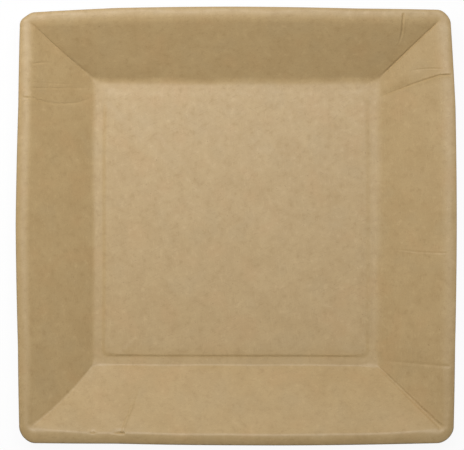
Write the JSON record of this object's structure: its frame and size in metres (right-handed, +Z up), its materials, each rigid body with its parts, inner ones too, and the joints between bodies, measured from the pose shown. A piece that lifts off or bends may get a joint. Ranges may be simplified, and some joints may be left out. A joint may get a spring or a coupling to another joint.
{
  "type": "paper plate",
  "caption": "Square pressed plate of brown kraft board, with a raised floor panel, sloping walls folded at the corners and a brim rolled down to the cut edge.",
  "frame": {"origin": "on the table, under the middle of the plate", "axes": "+Z up out of the plate, +X and +Y square to two sides"},
  "size_m": [0.23, 0.23, 0.018],
  "materials": {
    "kraft_board": "matte"
  },
  "bodies": {
    "root": {"plate": "kraft_board"}
  },
  "joints": []
}
